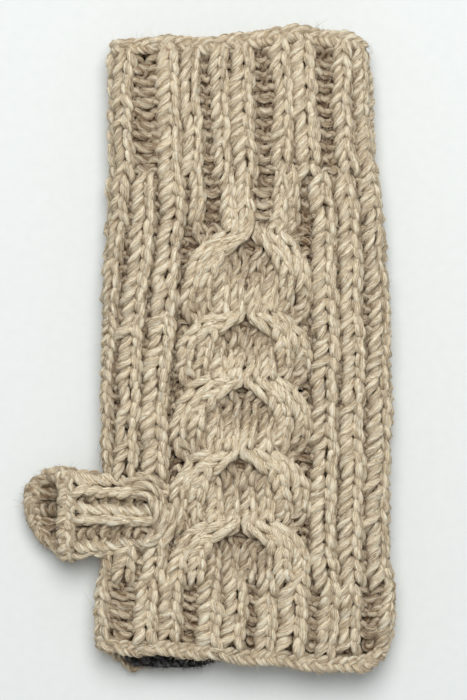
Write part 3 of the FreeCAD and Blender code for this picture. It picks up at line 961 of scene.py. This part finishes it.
def make_lining():
    """The fleece tube, with a hole for the thumb, as one layer with a thickness."""
    ys = np.arange(LINING_ENDS[0], LINING_ENDS[1] + 0.5 * LINING_STEP, LINING_STEP)
    left, right, _ = hand_edges(0.0)
    side = right - left - 2.0 * (LINING_INSET + LINING_HALF) + math.pi * LINING_HALF
    around = int(round(2.0 * side / LINING_STEP))
    share = np.arange(around) / around
    rows = []
    for y in ys:
        left, right, _ = hand_edges(y)
        low, high = left + LINING_INSET, right - LINING_INSET
        here = high - low - 2.0 * LINING_HALF + math.pi * LINING_HALF
        nub = NUB * rng.normal(size=around)
        x, up, nx, nz = flat_tube(share * 2.0 * here, low, high, LINING_HALF)
        place = wandered(x, np.full(around, y), LAYER_SHARE * up)
        proud = np.exp(-((x - LIP_X) / LIP_WIDTH) ** 4) * np.clip(-up / LINING_HALF, 0.0, 1.0)
        proud = proud * smooth((LIP_FROM_Y - y) / (LIP_FROM_Y - LINING_ENDS[0]))
        place = place - LIP_REACH * proud
        rows.append(np.stack([x + nx * nub, place, MID_Z + up + LIP_LIFT * proud + nz * nub], axis=-1))
    vertices = np.array(rows)
    number = np.arange(vertices.shape[0] * around).reshape(-1, around)
    corner = [number[:-1], np.roll(number, -1, axis=1)[:-1], np.roll(number, -1, axis=1)[1:], number[1:]]
    quads = np.stack(corner, axis=-1).reshape(-1, 4)
    flat = vertices.reshape(-1, 3)
    middle = flat[quads].mean(axis=1)
    hole = middle[:, 0] < LINING_HOLE_X
    hole &= middle[:, 1] > OPENING_Y[0] + LINING_HOLE_MARGIN
    hole &= middle[:, 1] < OPENING_Y[1] - LINING_HOLE_MARGIN
    quads = quads[~hole]
    used, renumbered = np.unique(quads, return_inverse=True)
    piece = make_object("fleece_lining_sheet", flat[used], [renumbered.reshape(-1, 4)], FLEECE)
    end = vertices[:NAP_ROWS].reshape(-1, 3)
    peeping = end[(np.abs(end[:, 0] - LIP_X) < 1.4 * LIP_WIDTH) & (end[:, 2] < MID_Z)]
    surface_points.append(("fleece", peeping, np.tile([0.0, -0.5, 1.0], (len(peeping), 1))))
    solid = piece.modifiers.new("thickness", "SOLIDIFY")
    solid.thickness = FLEECE_THICKNESS * MM
    solid.offset = 0.0
    return piece, 2.0 * side * MM, (LINING_ENDS[1] - LINING_ENDS[0]) * MM


lining, lining_width, lining_length = make_lining()

# ---- thread -------------------------------------------------------------------------
STITCH_RADIUS = 0.3
THREAD_SIDES = 8
HEM_STITCHES = 14  # on each layer of the fabric
HEM_FROM_X, HEM_TO_X = -36.0, 34.0
HEM_POINTS, HEM_REACH, HEM_SLANT = 12, 2.6, 1.5
SEAM_STEP, SEAM_WIDTH, SEAM_PITCH = 0.35, 0.9, 3.4
SEAM_WAVER = 0.15


def hem_stitches(name, y, family):
    """Slanting hand stitches that catch the lining's edge to the inside of the knitting."""
    yarns = Yarns(family)
    for layer in (-1.0, 1.0):
        for place in np.linspace(HEM_FROM_X, HEM_TO_X, HEM_STITCHES):
            t = np.linspace(0.0, 1.0, HEM_POINTS)
            x = place + HEM_REACH * t
            edge = wandered(x, np.full(HEM_POINTS, y), layer * 5.0)
            along = edge + HEM_SLANT * (t - 0.5) * np.sign(y)
            z = MID_Z + layer * (LINING_HALF - 0.6 + 1.5 * t - 0.9 * np.sin(math.pi * t))
            up = np.tile([0.0, 0.0, -layer], (HEM_POINTS, 1))
            points = np.stack([x, along, z], axis=-1)
            yarns.add(points, up, np.zeros(HEM_POINTS), THREAD_SIDES, STITCH_RADIUS, 9.0 * place)
    return yarns.build(name, THREAD)


def seam_stitches(name, x, low, high):
    """A zigzag seam along the lining's join."""
    yarns = Yarns("hand")
    y = np.arange(low, high, SEAM_STEP)
    zigzag = x + SEAM_WIDTH * np.arcsin(np.sin(TAU * y / SEAM_PITCH))
    z = np.full(len(y), MID_Z - LINING_HALF + 0.8) + SEAM_WAVER * np.sin(TAU * y / (0.5 * SEAM_PITCH))
    points = np.stack([zigzag, y, z], axis=-1)
    up = np.tile([0.0, 0.0, 1.0], (len(y), 1))
    yarns.add(points, up, np.zeros(len(y)), THREAD_SIDES, STITCH_RADIUS)
    return yarns.build(name, THREAD)


# ---- loose fibres -------------------------------------------------------------------
FIBRE_RADIUS = (0.035, 0.060)
FIBRE_LENGTH = (1.2, 4.0)
NAP_LENGTH = (0.5, 1.5)
FIBRE_POINTS = 5
FIBRE_SIDES = 3
FIBRE_TAPER = 0.6  # how much thinner its tip is than its root
FIBRE_CURL = 0.38
FIBRE_LIFT, FIBRE_LIFT_SPREAD = 0.28, 0.4  # how steeply it leaves the yarn


def loose_fibres(name, family, count, material, lengths=FIBRE_LENGTH, off=YARN_RADIUS):
    """Thin curved fibres that stand off one family's surface, each a closed tube."""
    groups = [(points, normals) for own, points, normals in surface_points if own == family]
    points = np.concatenate([group[0] for group in groups])
    normals = np.concatenate([group[1] for group in groups])
    pick = rng.integers(0, len(points), count)
    spin = rng.random(count) * TAU
    lean = rng.random(count) * 1.5 - 0.2
    normal = normals[pick] / (np.linalg.norm(normals[pick], axis=1, keepdims=True) + 1e-9)
    other = np.cross(normal, [0.3, 1.0, 0.2])
    other /= np.linalg.norm(other, axis=1, keepdims=True)
    third = np.cross(normal, other)
    aside = other * np.cos(spin)[:, None] + third * np.sin(spin)[:, None]
    root = points[pick] + off * 0.9 * (normal * np.cos(lean)[:, None] + aside * np.sin(lean)[:, None])
    heading = normal * (FIBRE_LIFT + FIBRE_LIFT_SPREAD * rng.random((count, 1))) + aside
    bend = rng.normal(size=(count, 3)) * 0.9 - 0.55 * normal
    length = lengths[0] + (lengths[1] - lengths[0]) * rng.random(count) ** 2
    t = np.linspace(0.0, 1.0, FIBRE_POINTS)[None, :, None]
    reach = length[:, None, None]
    heading = heading / np.linalg.norm(heading, axis=1, keepdims=True)
    line = root[:, None] + reach * (heading[:, None] * t + FIBRE_CURL * bend[:, None] * t * t)
    tangent = np.gradient(line, axis=1)
    tangent /= np.linalg.norm(tangent, axis=2, keepdims=True)
    across = np.cross(tangent, normal[:, None] + 0.01)
    across /= np.linalg.norm(across, axis=2, keepdims=True) + 1e-9
    upward = np.cross(across, tangent)
    thinnest, thickest = FIBRE_RADIUS
    thick = thinnest + (thickest - thinnest) * rng.random((count, 1, 1))
    thick = thick * (1.0 - FIBRE_TAPER * t)
    corners = []
    for side in range(FIBRE_SIDES):
        angle = TAU * side / FIBRE_SIDES
        corners.append(line + thick * (across * math.cos(angle) + upward * math.sin(angle)))
    vertices = np.stack(corners, axis=2)
    vertices[..., 2] = np.maximum(vertices[..., 2], 0.0)
    number = np.arange(count * FIBRE_POINTS * FIBRE_SIDES).reshape(count, FIBRE_POINTS, FIBRE_SIDES)
    beside = np.roll(number, -1, axis=2)
    corner = [number[:, :-1], beside[:, :-1], beside[:, 1:], number[:, 1:]]
    quads = np.stack(corner, axis=-1).reshape(-1, 4)
    ends = np.concatenate([number[:, 0, ::-1], number[:, -1]])
    return make_object(name, vertices.reshape(-1, 3), [quads, ends], material)


# ---- pieces and their bodies --------------------------------------------------------
WRIST_BLEND = ("hand", "wrist_cuff", (0.0, 0.042, 0.009), (0.0, 0.068, 0.009))
LIFT_BLEND = ("hand", "thumb_base", (-0.036, -0.054, 0.009), (-0.052, -0.054, 0.009))
SWING_BLEND = ("thumb_base", "thumb", (-0.052, -0.054, 0.009), (-0.064, -0.054, 0.009))


def place_piece(piece, nodes, blend=None, body=None):
    """Bakes a piece's transform into its mesh if it has a blend, or else parents it to its body's empty, and
    hides the CAD nodes it stands for.
    """
    if blend:
        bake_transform(piece)
    else:
        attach(piece, body)
    if nodes:
        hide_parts(*nodes)


YARN_PIECES = (
    (cast_on, "wrist_cast_on_edge", WRIST_BLEND),
    (wrist_cuff, "wrist_rib_cuff", WRIST_BLEND),
    (bend_rows, "wrist_bend_rows", WRIST_BLEND),
    (cable, "back_cable_panel", WRIST_BLEND),
    (left_side, "left_side_rib", WRIST_BLEND),
    (right_side, "right_side_rib", WRIST_BLEND),
    (palm, "palm_panel", WRIST_BLEND),
    (finger_cuff, "finger_rib_cuff", None),
    (bind_off, "finger_bind_off_edge", None),
    (gusset, "thumb_gusset", LIFT_BLEND),
    (thumb_first, "thumb_first_rounds", LIFT_BLEND),
    (thumb_tube, "thumb_tube", SWING_BLEND),
    (thumb_rim, "thumb_bind_off_edge", SWING_BLEND),
)
for yarns, node, blend in YARN_PIECES:
    piece = yarns.build(node + "_yarn", WOOL)
    place_piece(piece, [node], blend, "hand")

place_piece(lining, ["fleece_lining"], WRIST_BLEND)
SEAM_X, SEAM_FROM_Y, SEAM_TO_Y = 29.8, -98.0, 94.0
WRIST_HEM_Y, FINGER_HEM_Y = 96.5, -101.4
seam = seam_stitches("lining_seam_stitches", SEAM_X, SEAM_FROM_Y, SEAM_TO_Y)
place_piece(seam, ["lining_seam"], WRIST_BLEND)
wrist_hem = hem_stitches("wrist_hem_stitching", WRIST_HEM_Y, "wrist")
place_piece(wrist_hem, ["wrist_hem_stitches"], None, "wrist_cuff")
finger_hem = hem_stitches("finger_hem_stitching", FINGER_HEM_Y, "hand")
place_piece(finger_hem, ["finger_hem_stitches"], None, "hand")

# (family of yarns, number of fibres, how they bend)
FIBRE_PIECES = (
    ("hand", 17000, WRIST_BLEND),
    ("wrist", 6000, WRIST_BLEND),
    ("thumb_root", 1300, LIFT_BLEND),
    ("thumb", 900, SWING_BLEND),
)
for family, count, blend in FIBRE_PIECES:
    fibres = loose_fibres(family + "_loose_fibres", family, count, FUZZ)
    place_piece(fibres, [], blend)
NAP_FIBRES = 2600
nap = loose_fibres("fleece_nap", "fleece", NAP_FIBRES, FLEECE, NAP_LENGTH, off=0.3)
place_piece(nap, [], None, "hand")

# ---- floor, light and camera --------------------------------------------------------
PICTURE_HEIGHT = 0.231
CAMERA_DISTANCE = 1.2
SENSOR = 36.0
CAMERA_X = -0.0038
PICTURE_Z = 0.012  # the level at which the picture is PICTURE_HEIGHT tall
FLOOR_SIZE, FLOOR_Z = 1.5, -0.0002
LIGHT_PLACE, LIGHT_SIZE, LIGHT_POWER = (0.03, 0.46, 1.10), 0.9, 12.7


def make_floor():
    size, z = FLOOR_SIZE, FLOOR_Z
    mesh = bpy.data.meshes.new("table_top")
    corners = [(-size, -size, z), (size, -size, z), (size, size, z), (-size, size, z)]
    mesh.from_pydata(corners, [], [(0, 1, 2, 3)])
    mesh.materials.append(floor_material())
    floor = bpy.data.objects.new("table_top", mesh)
    bpy.context.scene.collection.objects.link(floor)


def make_light(name, place, size, power):
    light = bpy.data.lights.new(name, "AREA")
    light.shape = "DISK"
    light.size = size
    light.energy = power
    lamp = bpy.data.objects.new(name, light)
    lamp.location = place
    direction = np.array(place)
    lamp.rotation_euler = (
        math.atan2(math.hypot(direction[0], direction[1]), direction[2]), 0.0,
        math.atan2(direction[1], direction[0]) + 0.5 * math.pi,
    )
    bpy.context.scene.collection.objects.link(lamp)


def make_world():
    world = bpy.data.worlds.new("soft_room")
    world.use_nodes = True
    background = world.node_tree.nodes["Background"]
    background.inputs["Color"].default_value = (0.985, 0.99, 0.985, 1.0)
    background.inputs["Strength"].default_value = 0.40
    bpy.context.scene.world = world


def make_camera():
    data = bpy.data.cameras.new("camera")
    data.sensor_width = SENSOR
    data.lens = SENSOR * CAMERA_DISTANCE / PICTURE_HEIGHT
    camera = bpy.data.objects.new("camera", data)
    camera.location = (CAMERA_X, 0.0, CAMERA_DISTANCE + PICTURE_Z)
    bpy.context.scene.collection.objects.link(camera)
    bpy.context.scene.camera = camera


make_floor()
make_world()
make_light("window_light", LIGHT_PLACE, LIGHT_SIZE, LIGHT_POWER)
make_camera()
bpy.context.scene.view_settings.view_transform = "Standard"
